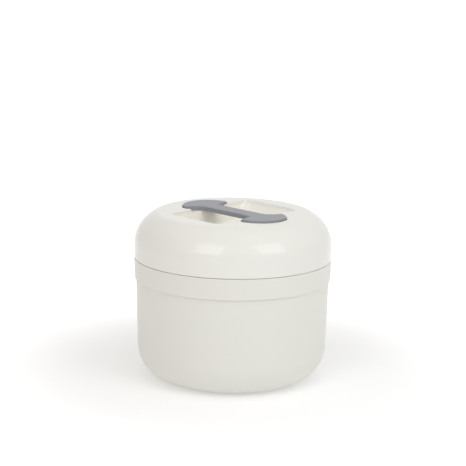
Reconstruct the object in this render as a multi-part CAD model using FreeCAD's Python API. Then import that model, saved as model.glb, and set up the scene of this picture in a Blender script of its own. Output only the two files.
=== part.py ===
"""Insulated chapati casserole with a twist-lock, lift-off lid and a grey S-shaped carrying handle.

Millimetres. The origin is on the floor at the middle of the foot, and +Z points up through the
handle. The photographed front faces -Y. A steel bowl hangs in a collar on a plastic body, with
foam between them. The lid is a hollow moulding filled with foam, with a finger recess in its top.
The handle's bar bridges the recess and its two wings are let into the lid's flat top.
"""
import FreeCAD, Part
import math
import os

vec = FreeCAD.Vector
origin = vec(0, 0, 0)
up = vec(0, 0, 1)
full_turn = 360
half_turn = 180
quarter_turn = 90
halves = (0, half_turn)
signs = (1, -1)

# Fits
fit = 0.2                 # between pieces that are assembled and stay together
free = 0.4                # between the lid's pieces and the base's, which move apart
shank_fit = 0.05          # round a screw's shank

# Outside of the base
seam_height = 148.0       # floor to the parting line between base and lid
collar_radius = 120.3     # collar at the parting line
collar_height = 25.2      # collar band below the parting line
collar_taper = 1.0        # the band is this much smaller at its lower edge
collar_edge = 0.8         # bevel round the collar's top edge
band_step = 1.7           # the band stands this far out from the body wall
band_groove = 0.4         # fine groove under the band
body_taper = 1.9          # the body wall draws in by this down to the bend
foot_bend = 39.0          # radius of the rounded bottom edge
shell_wall = 2.6          # wall of the body shell and the lid cover

# Underside
floor_gap = 2.6           # the shell's floor above the lowest point of its rim
floor_plate = 2.4         # thickness of the shell's floor
well_step = 5.3           # the underside's well is this much wider than where the bend starts
plate_thickness = 2.0     # base plate
foot_inset = 8.0          # the rubber foot ring is this far inside the well's edge
foot_width = 8.0
foot_edge = 0.4           # softened lower edges of the foot ring
foot_groove = 1.0         # how deep the foot ring sits in the base plate
plate_screw_inset = 10.0  # the base plate's screws are this far inside the foot ring
plate_screw_count = 4
plug_radius = 9.0         # stem of a foam plug
plug_flange = 3.0         # its head stands out by this
plug_head = 1.2
plug_stem = 1.2           # its stem goes this far past the wall

# Rim of the base
collar_wall = 2.4
collar_overlap = 9.0      # the body shell's spigot goes this far up into the collar
spigot_wall = 2.0
rim_width = 7.3           # collar's outside to the socket that takes the lid's ring
socket_depth = 10.8       # parting line down to the seat of the bowl's flange
ledge_width = 12.0        # seat under the bowl's flange, inside the socket
ledge_thickness = 2.4
seal_width = 6.0          # flat seal under the bowl's flange
seal_thickness = 0.8
bowl_inset = 3.0          # the bowl's mouth is this far inside the seat's edge
bowl_wall = 0.8
bowl_taper = 4.0          # the bowl narrows by this to its floor bend
bowl_bend = 24.0          # inner radius of the bowl's floor bend
bowl_lift = 31.0          # floor to the underside of the bowl
bowl_mouth_bend = 2.2     # where the wall turns out into the flange
clamp_width = 2.6         # thin ring that holds the flange down
clamp_thickness = 1.2

# Twist lock
lug_count = 4
catch_reach = 2.8         # the collar's catches reach this far into the socket
catch_thickness = 3.2
catch_angle = 36.0        # each catch's span round the socket
catch_drop = 0.8          # the catches' top below the parting line
lug_angle = 28.0          # each lid lug's span
lug_reach = 2.8
lug_thickness = 3.6
lug_lead = 36.0           # lug's centre to the catch's centre while unlocked
lock_turn = 30.0          # the lid turns by this to lock
stop_thickness = 2.0      # rib that stops the lug at the end of its turn

# Lid
lid_gap = 0.5             # visible gap at the parting line
lid_setback = 0.2         # the lid's wall is this far inside the collar's edge
lid_wall_rise = 16.7      # parting line to where the shoulder starts
lid_rise = 55.6           # parting line to the flat top
shoulder_width = 27.4     # the lid's wall to the edge of the flat top
crown_angle = 16.8        # slope of the shoulder at the flat top's edge, degrees
crown_pull = 11.0         # how long the shoulder keeps that slope
shoulder_pull = 22.6      # how long the shoulder keeps upright above the wall
bead = 0.5                # snap bead of the lock ring in the lid cover
bead_height = 1.2
ring_wall = 3.0           # lock ring
ring_flange = 2.2
ring_flange_rise = 1.0    # parting line to the flange's underside
ring_foot_rise = 1.4      # above the bowl's flange
shelf_width = 7.4         # shelf that carries the liner, inside the lock ring
shelf_thickness = 2.2
shelf_rise = 7.4          # the bowl's flange to the shelf's underside
gasket_lip = 2.0          # the gasket's soft lip
gasket_neck = 2.4
liner_wall = 1.2
liner_drop = 6.0          # the liner's floor below its flange
liner_bend = 5.0
liner_edge = 1.2          # the liner's wall inside the shelf's edge

# Finger recess, long across the bar
recess_length = 138.0
recess_width = 86.0
recess_corner = 11.0
recess_depth = 25.0
recess_end_slope = 22.0   # the end walls draw in by this down to the floor
recess_side_slope = 2.0   # and the side walls by this
recess_floor_bend = 6.0
recess_lip = 1.4          # rounded edge of the recess

# Handle, u along the bar and v across it
handle_bearing = 135.0    # direction of the left wing in plan, from +X
handle_thickness = 5.2
handle_proud = 1.8        # above the flat top
handle_edge = 0.9         # rounded top edge
handle_tip = 1.6          # rounded corners in plan
seat_lip = 1.3            # softened edge of the wings' seats in the lid's top, how deep
seat_lip_width = 2.6      # and how wide
bar_width = 24.0
wing_reach = 78.0         # middle of the handle to the wing's end
notch_start = 38.9        # where the bar's edge steps out to the long tip
long_tip_u = 46.0
long_tip_v = 34.6
short_tip_u = 51.0
short_tip_v = 30.0
hollow_u = 47.0           # deepest point of the hollow back under the short tip
hollow_v = 16.5
hollow_start = 37.0       # where the hollow back leaves the bar's edge
handle_skin = 2.2         # wall of the handle's cover
core_thickness = 2.4      # plate that closes the cover's underside
seat_wall = 2.4           # lid wall under the wings' seats
boss_radius = 4.0
handle_screw_u = 58.0
handle_screw_v = 11.0
washer_radius = 7.0
washer_thickness = 1.0

# Screws, all the same self-tapping size
screw_radius = 1.5
screw_head_radius = 3.2
screw_head_height = 1.8
screw_point = 0.5         # radius of the blunt point
plate_screw_length = 10.0
plate_boss_radius = 4.2
handle_screw_grip = 4.2   # how far it goes into the boss and core

# Heights and radii that follow
band_low = seam_height - collar_height
body_top_radius = collar_radius - collar_taper - band_step
body_low_radius = body_top_radius - body_taper
bend_centre = body_low_radius - foot_bend
well_radius = bend_centre + well_step
foot_outer = well_radius - foot_inset
foot_inner = foot_outer - foot_width
plate_screw_circle = foot_inner - plate_screw_inset
socket_radius = collar_radius - rim_width
ledge_inner = socket_radius - ledge_width
bowl_radius = ledge_inner - bowl_inset
flange_seat = seam_height - socket_depth
flange_top = flange_seat + bowl_wall
spigot_radius = collar_radius - collar_taper - collar_wall - fit
top_height = seam_height + lid_rise
handle_top = top_height + handle_proud
handle_low = handle_top - handle_thickness
seat_height = handle_low - fit
shelf_low = flange_top + shelf_rise
shelf_top = shelf_low + shelf_thickness
ring_outer = socket_radius - catch_reach - free
ring_inner = ring_outer - ring_wall
shelf_inner = ring_inner - shelf_width
lid_radius = collar_radius - lid_setback
top_radius = lid_radius - shoulder_width
lid_inner = lid_radius - shell_wall
lid_low = seam_height + lid_gap
flange_low = seam_height + ring_flange_rise
flange_high = flange_low + ring_flange
rim_low = foot_bend - math.sqrt(foot_bend**2 - (well_radius - bend_centre)**2)
shell_floor = rim_low + floor_gap
shell_floor_top = shell_floor + floor_plate
plate_top = shell_floor - fit
plate_low = plate_top - plate_thickness


def at(r, z):
    """Point of a section in the XZ plane."""
    return vec(r, 0, z)


def lines(points):
    """Straight edges from point to point."""
    pairs = zip(points, points[1:])
    return [Part.makeLine(a, b) for a, b in pairs]


def bend(centre_r, centre_z, radius, start, end):
    """Arc of a section about a centre, between two angles from the +X direction in degrees."""
    angles = [math.radians(a) for a in (start, (start + end) / 2, end)]
    points = [at(centre_r + radius * math.cos(a), centre_z + radius * math.sin(a)) for a in angles]
    return Part.Arc(*points).toShape()


def curve(points):
    """One smooth edge with the given points as its control points."""
    bezier = Part.BezierCurve()
    bezier.setPoles(points)
    return bezier.toShape()


def spin(edges):
    """Solid of revolution about Z of a section made of joined edges, in order."""
    wire = Part.Wire(edges)
    return Part.Face(wire).revolve(origin, up, full_turn)


def turned(points):
    """Solid of revolution of a closed section with straight sides."""
    return spin(lines(points + points[:1]))


def post(radius, low, high, x=0, y=0):
    """Upright cylinder between two heights."""
    return Part.makeCylinder(radius, high - low, vec(x, y, low), up)


def sector(inner, outer, low, high, middle, span):
    """Part of a ring, centred on one angle and spanning another, in degrees."""
    section = Part.Face(Part.Wire(lines([at(inner, low), at(outer, low), at(outer, high),
                                         at(inner, high), at(inner, low)])))
    piece = section.revolve(origin, up, span)
    piece.rotate(origin, up, middle - span / 2)
    return piece


def repeat(shape, count, start=0):
    """Copies of a shape, evenly round the Z axis."""
    copies = []
    for index in range(count):
        copy = shape.copy()
        copy.rotate(origin, up, start + index * full_turn / count)
        copies.append(copy)
    return copies


def to_plan(shape):
    """Turn a shape from the handle's own u, v directions into the part's frame."""
    placed = shape.copy()
    placed.rotate(origin, up, handle_bearing)
    return placed


def save(name, shape):
    """Write one named piece."""
    shape.exportStep("parts/" + name + ".step")


def bend_point(radius, height):
    """Radius at which an arc of the foot bend, of this radius, reaches a height."""
    return bend_centre + math.sqrt(radius**2 - (foot_bend - height)**2)


def bend_angle(r, z):
    """Angle of a point on the foot bend, seen from the bend's centre."""
    return math.degrees(math.atan2(z - foot_bend, r - bend_centre))


def screw(length, countersunk):
    """Self-tapping screw with its head's face at z = 0 and its shank going up."""
    head = post(screw_head_radius, 0, screw_head_height)
    if countersunk:
        head = Part.makeCone(screw_head_radius, screw_radius, screw_head_height)
    shank_top = length - screw_radius
    shank = post(screw_radius, 0, shank_top)
    tip = Part.makeCone(screw_radius, screw_point, screw_radius, vec(0, 0, shank_top), up)
    return head.fuse([shank, tip]).removeSplitter()


# Base
def plate_screw_places():
    """Centres of the screws under the base."""
    step = full_turn / plate_screw_count
    angles = [math.radians(step / 2 + step * i) for i in range(plate_screw_count)]
    return [(plate_screw_circle * math.cos(a), plate_screw_circle * math.sin(a)) for a in angles]


def body_shell():
    """Outer shell: tapered wall, rounded bottom edge, floor with a well, spigot for the collar."""
    inner_bend = foot_bend - shell_wall
    floor_edge = bend_point(inner_bend, shell_floor_top)
    spigot_top = band_low + collar_overlap
    wall_top = band_low - band_groove
    spigot_inner = spigot_radius - spigot_wall
    outer = bend(bend_centre, foot_bend, foot_bend, bend_angle(well_radius, rim_low), 0)
    inner = bend(bend_centre, foot_bend, inner_bend, 0, bend_angle(floor_edge, shell_floor_top))
    shoulder = wall_top - (body_top_radius - shell_wall - spigot_inner) - spigot_wall
    edges = lines([at(0, shell_floor), at(well_radius, shell_floor), at(well_radius, rim_low)])
    edges.append(outer)
    edges += lines([at(body_low_radius, foot_bend), at(body_top_radius, wall_top),
                    at(spigot_radius, wall_top), at(spigot_radius, spigot_top),
                    at(spigot_inner, spigot_top), at(spigot_inner, wall_top - spigot_wall),
                    at(body_top_radius - shell_wall, shoulder),
                    at(body_low_radius - shell_wall, foot_bend)])
    edges.append(inner)
    edges += lines([at(floor_edge, shell_floor_top), at(0, shell_floor_top), at(0, shell_floor)])
    shell = spin(edges)
    boss_top = plate_low + plate_screw_length + floor_plate
    boss_low = shell_floor_top - fit
    bosses = [post(plate_boss_radius, boss_low, boss_top, x, y) for x, y in plate_screw_places()]
    shell = shell.fuse(bosses)
    pilot = screw_radius + shank_fit
    pilot_top = plate_low + plate_screw_length + fit
    cuts = [post(pilot, shell_floor - fit, pilot_top, x, y) for x, y in plate_screw_places()]
    cuts.append(post(plug_radius + fit, 0, shell_floor_top + fit))
    cuts.append(post(plug_radius + plug_flange + fit, 0, shell_floor + plug_head + fit))
    return shell.cut(cuts).removeSplitter()


def base_plate():
    """Cover that closes the underside, with a groove for the foot ring."""
    plate = post(well_radius - fit, plate_low, plate_top)
    groove = post(foot_outer + fit, 0, plate_low + foot_groove)
    groove = groove.cut(post(foot_inner - fit, 0, plate_low + foot_groove))
    cuts = [groove]
    for x, y in plate_screw_places():
        cuts.append(post(screw_radius + fit, 0, plate_top + fit, x, y))
        sink = Part.makeCone(screw_head_radius + fit, screw_radius + fit, screw_head_height,
                             vec(x, y, plate_low), up)
        cuts.append(sink)
    return plate.cut(cuts)


def base_screws():
    """Countersunk screws up through the base plate into the shell's bosses."""
    screws = []
    for x, y in plate_screw_places():
        piece = screw(plate_screw_length, True)
        piece.translate(vec(x, y, plate_low))
        screws.append(piece)
    return Part.makeCompound(screws)


def foot_ring():
    """Rubber ring that the casserole stands on, with softened edges."""
    high = plate_low + foot_groove
    return turned([at(foot_inner + foot_edge, 0), at(foot_outer - foot_edge, 0),
                   at(foot_outer, foot_edge), at(foot_outer, high), at(foot_inner, high),
                   at(foot_inner, foot_edge)])


def mushroom(head_low, wall):
    """Plug, head down, that closes the hole the foam is poured through."""
    head = post(plug_radius + plug_flange, head_low, head_low + plug_head)
    stem = post(plug_radius, head_low, head_low + wall + plug_stem)
    return head.fuse(stem).removeSplitter()


def body_foam_plug():
    """Plug in the middle of the shell's floor, over the base plate."""
    return mushroom(shell_floor, floor_plate)


def collar_ring():
    """Band round the rim: a double wall with the lid's socket, the bowl's seat and the catches."""
    edge = collar_radius - collar_edge
    low_inner = collar_radius - collar_taper - collar_wall
    top_inner = collar_radius - collar_wall
    roof = seam_height - collar_wall
    pocket_wall = socket_radius + collar_wall - fit
    ledge_low = flange_seat - ledge_thickness
    ring = turned([at(collar_radius - collar_taper, band_low), at(collar_radius, seam_height - collar_edge),
                   at(edge, seam_height), at(socket_radius, seam_height), at(socket_radius, flange_seat),
                   at(ledge_inner, flange_seat), at(ledge_inner, ledge_low), at(pocket_wall, ledge_low),
                   at(pocket_wall, roof), at(top_inner, roof), at(low_inner, band_low)])
    seal_seat = post(ledge_inner + seal_width, flange_seat - seal_thickness, seam_height)
    catch_top = seam_height - catch_drop
    catch_low = catch_top - catch_thickness
    root = socket_radius + fit
    catch = sector(socket_radius - catch_reach, root, catch_low, catch_top, 0, catch_angle)
    stop_span = math.degrees(stop_thickness / socket_radius)
    lug_end = lug_lead - lock_turn - lug_angle / 2 - math.degrees(free / socket_radius)
    stop = sector(socket_radius - catch_reach, root, catch_low - lug_thickness, catch_low,
                  lug_end - stop_span / 2, stop_span)
    ring = ring.cut(seal_seat)
    return ring.fuse(repeat(catch, lug_count) + repeat(stop, lug_count)).removeSplitter()


def bowl_section(outer):
    """Wall line of the bowl from its floor's middle to its flange, inside or outside."""
    skin = bowl_wall if outer else 0
    floor = bowl_lift + bowl_wall - skin
    radius = bowl_radius + skin
    bend_radius = bowl_bend + skin
    low = radius - bowl_taper
    turn = bowl_mouth_bend - skin
    flange = flange_seat + bowl_wall - skin
    return floor, radius, bend_radius, low, turn, flange


def steel_bowl():
    """Pressed steel bowl with a bent floor edge and a flat flange."""
    flange_edge = socket_radius - fit
    floor_in, r_in, bend_in, low_in, turn_in, top_in = bowl_section(False)
    floor_out, r_out, bend_out, low_out, turn_out, top_out = bowl_section(True)
    mouth = r_in + bowl_mouth_bend
    edges = lines([at(0, floor_out), at(low_out - bend_out, floor_out)])
    edges.append(bend(low_out - bend_out, floor_out + bend_out, bend_out, -quarter_turn, 0))
    edges += lines([at(low_out, floor_out + bend_out), at(r_out, top_out - turn_out)])
    edges.append(bend(mouth, top_out - turn_out, turn_out, half_turn, quarter_turn))
    edges += lines([at(mouth, top_out), at(flange_edge, top_out), at(flange_edge, top_in),
                    at(mouth, top_in)])
    edges.append(bend(mouth, top_in - turn_in, turn_in, quarter_turn, half_turn))
    edges += lines([at(r_in, top_in - turn_in), at(low_in, floor_in + bend_in)])
    edges.append(bend(low_in - bend_in, floor_in + bend_in, bend_in, 0, -quarter_turn))
    edges += lines([at(low_in - bend_in, floor_in), at(0, floor_in), at(0, floor_out)])
    return spin(edges)


def bowl_rim_seal():
    """Flat seal let into the collar's ledge, under the bowl's flange."""
    inner = max(ledge_inner, bowl_radius + bowl_mouth_bend + fit)
    outer = ledge_inner + seal_width - fit
    low = flange_seat - seal_thickness
    return turned([at(inner, low), at(outer, low), at(outer, flange_seat), at(inner, flange_seat)])


def bowl_clamp_ring():
    """Thin ring snapped into the socket, which holds the bowl's flange down."""
    outer = socket_radius - fit
    inner = outer - clamp_width
    top = flange_top + clamp_thickness
    return turned([at(inner, flange_top), at(outer, flange_top), at(outer, top), at(inner, top)])


def body_foam():
    """Rigid foam between the body shell and the bowl, poured as one piece."""
    inner_bend = foot_bend - shell_wall - fit
    floor = shell_floor_top + fit
    floor_edge = bend_point(inner_bend, floor)
    wall_fit = shell_wall + fit
    spigot_inner = spigot_radius - spigot_wall - fit
    wall_top = band_low - band_groove - spigot_wall
    shoulder = wall_top - (body_top_radius - shell_wall - spigot_radius + spigot_wall)
    top = flange_seat - ledge_thickness - fit
    floor_out, r_out, bend_out, low_out = bowl_section(True)[:4]
    bowl_floor = floor_out - fit
    bend_foam = bend_out + fit
    side_low = low_out + fit
    side_top = r_out + fit
    edges = lines([at(0, floor), at(floor_edge, floor)])
    edges.append(bend(bend_centre, foot_bend, inner_bend, bend_angle(floor_edge, floor), 0))
    edges += lines([at(body_low_radius - wall_fit, foot_bend),
                    at(body_top_radius - wall_fit, shoulder - fit), at(spigot_inner, wall_top),
                    at(spigot_inner, top), at(side_top, top), at(side_low, floor_out + bend_out)])
    edges.append(bend(low_out - bend_out, floor_out + bend_out, bend_foam, 0, -quarter_turn))
    edges += lines([at(low_out - bend_out, bowl_floor), at(0, bowl_floor), at(0, floor)])
    foam = spin(edges)
    boss_top = plate_low + plate_screw_length + floor_plate + fit
    cuts = [post(plate_boss_radius + fit, 0, boss_top, x, y) for x, y in plate_screw_places()]
    plug_top = shell_floor + fit + floor_plate + plug_stem + fit
    cuts.append(post(plug_radius + fit, 0, plug_top))
    return foam.cut(cuts)


# Lid
def shoulder_points(inset):
    """Control points of the shoulder, from the wall up to the flat top, at an inset from outside."""
    slope = math.radians(crown_angle)
    scale = 1 - inset / (lid_rise - lid_wall_rise)
    wall_radius = lid_radius - inset
    wall_height = seam_height + lid_wall_rise
    edge_radius = top_radius - inset * math.tan(slope / 2)
    edge_height = top_height - inset
    return [at(wall_radius, wall_height), at(wall_radius, wall_height + shoulder_pull * scale),
            at(edge_radius + crown_pull * scale * math.cos(slope),
               edge_height - crown_pull * scale * math.sin(slope)), at(edge_radius, edge_height)]


def rounded_block(half_u, half_v, corner, height):
    """Rounded rectangle in the handle's directions, as a wire at a height."""
    slant = corner * (1 - math.sqrt(2) / 2)
    sides = ((half_u, half_v), (half_v, half_u)) * 2
    edges = []
    for index, (u, v) in enumerate(sides):
        low = vec(u, corner - v, height)
        high = vec(u, v - corner, height)
        middle = vec(u - slant, v - slant, height)
        end = vec(u - corner, v, height)
        for edge in (Part.makeLine(low, high), Part.Arc(high, middle, end).toShape()):
            edge.rotate(origin, up, quarter_turn * index)
            edges.append(edge)
    return Part.Wire(edges)


def recess_solid(skin):
    """The finger recess as a solid, grown by a skin all round and below, open at the top."""
    floor_height = top_height - recess_depth - skin
    half_u = recess_width / 2 + skin
    half_v = recess_length / 2 + skin
    corner = recess_corner + skin
    top = rounded_block(half_u, half_v, corner, top_height)
    floor = rounded_block(half_u - recess_side_slope, half_v - recess_end_slope, corner, floor_height)
    solid = Part.makeLoft([floor, top], True, True)
    floor_edges = [e for e in solid.Edges if abs(e.CenterOfMass.z - floor_height) < fit]
    solid = solid.makeFillet(recess_floor_bend + skin, floor_edges)
    return to_plan(solid)


def handle_outline(height):
    """Plan of the handle as a wire: one half, and the same half turned round the middle."""
    side = bar_width / 2
    edges = []
    for turn in halves:
        notch = vec(notch_start, -side, height)
        long_tip = vec(long_tip_u, -long_tip_v, height)
        end = vec(wing_reach, 0, height)
        short_tip = vec(short_tip_u, short_tip_v, height)
        hollow = vec(hollow_u, hollow_v, height)
        back = vec(hollow_start, side, height)
        next_notch = vec(-notch_start, side, height)
        half = [Part.makeLine(notch, long_tip), Part.Arc(long_tip, end, short_tip).toShape(),
                Part.Arc(short_tip, hollow, back).toShape(), Part.makeLine(back, next_notch)]
        for edge in half:
            edge.rotate(origin, up, turn)
            edges.append(edge)
    return Part.Wire(edges)


def grown_outline(grow, height):
    """Plan of the handle, grown by an amount all round, or shrunk where it is negative."""
    return handle_outline(height).makeOffset2D(grow)


def handle_block(grow, low, high):
    """The handle's plan, grown or shrunk, as an upright block."""
    wire = grown_outline(grow, low) if grow else handle_outline(low)
    return Part.Face(wire).extrude(vec(0, 0, high - low))


def corner_edges(block, points):
    """Upright edges of a block that stand on given plan points, on both halves."""
    found = []
    for edge in block.Edges:
        ends = edge.Vertexes
        middle = edge.CenterOfMass
        for u, v in points:
            for sign in signs:
                near = math.hypot(middle.x - sign * u, middle.y - sign * v) < fit
                if near and abs(ends[0].Z - ends[-1].Z) > fit:
                    found.append(edge)
    return found


def handle_screw_places():
    """Centres of the handle's screws, in the handle's directions."""
    return [(end * handle_screw_u, side * handle_screw_v) for end in signs for side in signs]


def handle_cap():
    """Grey S-shaped cover: bar and two wings, hollow underneath."""
    block = handle_block(0, handle_low, handle_top)
    tips = [(long_tip_u, -long_tip_v), (short_tip_u, short_tip_v)]
    block = block.makeFillet(handle_tip, corner_edges(block, tips))
    top_edges = [e for e in block.Edges if abs(e.BoundBox.ZMin - handle_top) < fit]
    block = block.makeFillet(handle_edge, top_edges)
    hollow = handle_block(-handle_skin, handle_low, handle_low + core_thickness + fit)
    return to_plan(block.cut(hollow))


def handle_core():
    """Plate that closes the cover from below, with bosses down through the lid."""
    plate = handle_block(-handle_skin - fit, handle_low, handle_low + core_thickness)
    boss_low = seat_height - seat_wall
    bosses = [post(boss_radius, boss_low, handle_low + fit, u, v) for u, v in handle_screw_places()]
    core = plate.fuse(bosses)
    pilot = screw_radius + shank_fit
    pilot_top = boss_low + handle_screw_grip + fit
    holes = [post(pilot, boss_low, pilot_top, u, v) for u, v in handle_screw_places()]
    return to_plan(core.cut(holes).removeSplitter())


def handle_washers():
    """Washers under the lid's top that the handle's screws pull against."""
    high = seat_height - seat_wall
    low = high - washer_thickness
    rings = []
    for u, v in handle_screw_places():
        ring = post(washer_radius, low, high, u, v)
        rings.append(ring.cut(post(screw_radius + fit, low, high, u, v)))
    return to_plan(Part.makeCompound(rings))


def handle_screws():
    """Screws up through the washers into the handle's core."""
    low = seat_height - seat_wall - washer_thickness - screw_head_height
    length = screw_head_height + washer_thickness + handle_screw_grip
    screws = []
    for u, v in handle_screw_places():
        piece = screw(length, False)
        piece.translate(vec(u, v, low))
        screws.append(piece)
    return to_plan(Part.makeCompound(screws))


def seat_block(grow, low, high):
    """Room of the handle in the lid's top, grown by a wall.

    The wings' seats stay open to the recess along each wing's hollow back.
    """
    start = recess_width / 2 - recess_side_slope
    width = short_tip_u + grow - start
    length = short_tip_v + grow - bar_width / 2
    block = handle_block(grow, low, high)
    for turn in halves:
        room = Part.makeBox(width, length, high - low, vec(start, bar_width / 2, low))
        room.rotate(origin, up, turn)
        block = block.fuse(room)
    return to_plan(block.removeSplitter())


def lid_cover():
    """Top moulding: wall, rounded shoulder, flat top, finger recess and seats for the wings."""
    outer = shoulder_points(0)
    inner = shoulder_points(shell_wall)
    bead_low = flange_low + (ring_flange - bead_height) / 2
    groove = bead + fit
    edges = lines([at(lid_inner, lid_low), at(lid_radius, lid_low), outer[0]])
    edges.append(curve(outer))
    edges += lines([outer[-1], at(0, top_height), at(0, top_height - shell_wall), inner[-1]])
    edges.append(curve(inner[::-1]))
    edges += lines([inner[0], at(lid_inner, bead_low + bead_height),
                    at(lid_inner + groove, bead_low + bead_height), at(lid_inner + groove, bead_low),
                    at(lid_inner, bead_low), at(lid_inner, lid_low)])
    cover = spin(edges)
    cup = recess_solid(shell_wall)
    below_top = post(lid_radius, seam_height, top_height - fit)
    cup = cup.common(below_top)
    seats = seat_block(shell_wall, seat_height - seat_wall, top_height - fit)
    cover = cover.fuse([cup, seats])
    cover = cover.cut(recess_solid(0))
    flat = [e for e in cover.Edges if abs(e.BoundBox.ZMin - top_height) < fit and e.BoundBox.ZLength < fit]
    rim = [e for e in flat if math.hypot(e.CenterOfMass.x, e.CenterOfMass.y) > fit]
    cover = cover.makeFillet(recess_lip, rim)
    seat = seat_block(fit, seat_height, handle_top)
    lip = to_plan(Part.makeLoft([grown_outline(fit, top_height - seat_lip),
                                 grown_outline(fit + seat_lip_width, top_height)], True, True))
    holes = [to_plan(post(boss_radius + fit, seat_height - seat_wall - fit, seat_height + fit, u, v))
             for u, v in handle_screw_places()]
    return cover.cut([seat, lip] + holes)


def lid_lock_ring():
    """Ring that closes the lid's edge: flange with a snap bead, shelf, skirt and lock lugs."""
    foot = flange_top + ring_foot_rise
    flange_edge = lid_inner - fit
    bead_edge = flange_edge + bead
    middle = (flange_low + flange_high) / 2
    half_bead = bead_height / 2 - fit
    ring = turned([at(ring_inner, foot), at(ring_outer, foot), at(ring_outer, flange_low),
                   at(flange_edge, flange_low), at(flange_edge, middle - half_bead),
                   at(bead_edge, middle), at(flange_edge, middle + half_bead),
                   at(flange_edge, flange_high), at(ring_inner, flange_high),
                   at(ring_inner, shelf_top), at(shelf_inner, shelf_top),
                   at(shelf_inner, shelf_low), at(ring_inner, shelf_low)])
    lug_top = seam_height - catch_drop - catch_thickness - free
    lug_low = lug_top - lug_thickness + free
    lug_edge = ring_outer + lug_reach - free
    lug = sector(ring_outer - fit, lug_edge, lug_low, lug_top, lug_lead, lug_angle)
    return ring.fuse(repeat(lug, lug_count)).removeSplitter()


def lid_gasket():
    """Silicone ring that closes the gap between lid and bowl, with a soft lower lip."""
    low = flange_top + free
    high = shelf_low - free
    outer = ring_inner - free
    inner = bowl_radius + bowl_mouth_bend + free
    neck = outer - gasket_neck
    lip_top = low + gasket_lip
    return turned([at(inner, low), at(outer, low), at(outer, high), at(inner, high),
                   at(inner, high - gasket_lip), at(neck, high - gasket_lip),
                   at(neck, lip_top), at(inner, lip_top - gasket_lip / 2)])


def lid_liner():
    """Shallow dish that closes the lid's underside over the food."""
    outer = shelf_inner - liner_edge
    floor = shelf_top - liner_drop
    edge = ring_inner - fit
    flange = shelf_top + liner_wall
    inside = outer - liner_wall
    bend_in = liner_bend - liner_wall
    edges = lines([at(0, floor), at(outer - liner_bend, floor)])
    edges.append(bend(outer - liner_bend, floor + liner_bend, liner_bend, -quarter_turn, 0))
    edges += lines([at(outer, floor + liner_bend), at(outer, shelf_top), at(edge, shelf_top),
                    at(edge, flange), at(inside, flange), at(inside, floor + liner_bend)])
    edges.append(bend(outer - liner_bend, floor + liner_bend, bend_in, 0, -quarter_turn))
    edges += lines([at(outer - liner_bend, floor + liner_wall), at(0, floor + liner_wall), at(0, floor)])
    liner = spin(edges)
    hole = post(plug_radius + fit, 0, flange)
    return liner.cut(hole)


def lid_foam():
    """Rigid foam that fills the lid between cover, recess and liner."""
    inset = shell_wall + fit
    inner = shoulder_points(inset)
    floor = shelf_top - liner_drop + liner_wall + fit
    outer = shelf_inner - liner_edge - liner_wall - fit
    ledge = shelf_top + liner_wall + fit
    edge = ring_inner - fit
    over_ring = flange_high + fit
    edges = lines([at(0, floor), at(outer - liner_bend, floor), at(outer, floor + liner_bend),
                   at(outer, ledge), at(edge, ledge), at(edge, over_ring),
                   at(lid_radius - inset, over_ring), inner[0]])
    edges.append(curve(inner))
    edges += lines([inner[-1], at(0, top_height - inset), at(0, floor)])
    foam = spin(edges)
    cuts = [recess_solid(inset), seat_block(inset, seat_height - seat_wall - fit, top_height)]
    head_low = seat_height - seat_wall - washer_thickness - screw_head_height - fit
    for u, v in handle_screw_places():
        cuts.append(to_plan(post(washer_radius + fit, head_low, top_height, u, v)))
    plug_top = floor + plug_stem + fit
    cuts.append(post(plug_radius + fit, 0, plug_top))
    return foam.cut(cuts)


def lid_foam_plug():
    """Plug in the liner's middle."""
    floor = shelf_top - liner_drop
    return mushroom(floor - plug_head, plug_head + liner_wall)


def main():
    """Build every piece and write it under its own name."""
    os.makedirs("parts", exist_ok=True)
    makers = (body_shell, base_plate, base_screws, foot_ring, body_foam_plug, collar_ring, steel_bowl,
              bowl_rim_seal, bowl_clamp_ring, body_foam, lid_cover, lid_lock_ring, lid_gasket,
              lid_liner, lid_foam, lid_foam_plug, handle_cap, handle_core, handle_washers,
              handle_screws)
    for maker in makers:
        save(maker.__name__, maker())


main()
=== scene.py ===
"""Insulated chapati casserole: cream plastic body and lid, grey handle, steel bowl, seals and light.

Everything is in metres in the packed model's own frame. Each piece is a surface worked out with
numpy, placed in its mesh, and rides on the body that it belongs to. Pieces that the model already
has in their right shape keep their mesh and get a finish.
"""
import math

import bmesh
import bpy
import numpy as np
from mathutils import Matrix, Vector


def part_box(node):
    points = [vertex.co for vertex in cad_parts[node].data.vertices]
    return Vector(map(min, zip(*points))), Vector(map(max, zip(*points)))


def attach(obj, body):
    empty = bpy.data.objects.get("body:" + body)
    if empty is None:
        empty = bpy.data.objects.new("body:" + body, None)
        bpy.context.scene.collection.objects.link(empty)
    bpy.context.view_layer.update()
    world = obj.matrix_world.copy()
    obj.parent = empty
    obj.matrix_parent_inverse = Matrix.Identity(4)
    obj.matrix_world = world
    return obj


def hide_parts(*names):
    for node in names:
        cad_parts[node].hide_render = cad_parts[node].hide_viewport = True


bl_info = {
    "name": "Chapati casserole",
    "version": (1, 0, 0),
    "blender": (4, 5, 0),
    "location": "View3D > Sidebar > Casserole",
    "description": "Builds the visible pieces of an insulated casserole round its packed model",
    "category": "Add Mesh",
}

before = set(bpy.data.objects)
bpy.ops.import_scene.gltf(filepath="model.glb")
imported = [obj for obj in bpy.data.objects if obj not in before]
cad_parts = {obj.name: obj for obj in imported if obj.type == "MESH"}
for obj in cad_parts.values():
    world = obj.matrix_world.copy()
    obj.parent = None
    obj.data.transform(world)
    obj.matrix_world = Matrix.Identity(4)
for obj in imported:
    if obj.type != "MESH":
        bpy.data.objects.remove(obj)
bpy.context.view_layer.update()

TURN = 2 * math.pi


def top(node):
    """Highest point of a packed node."""
    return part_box(node)[1].z


def foot(node):
    """Lowest point of a packed node."""
    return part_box(node)[0].z


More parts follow.
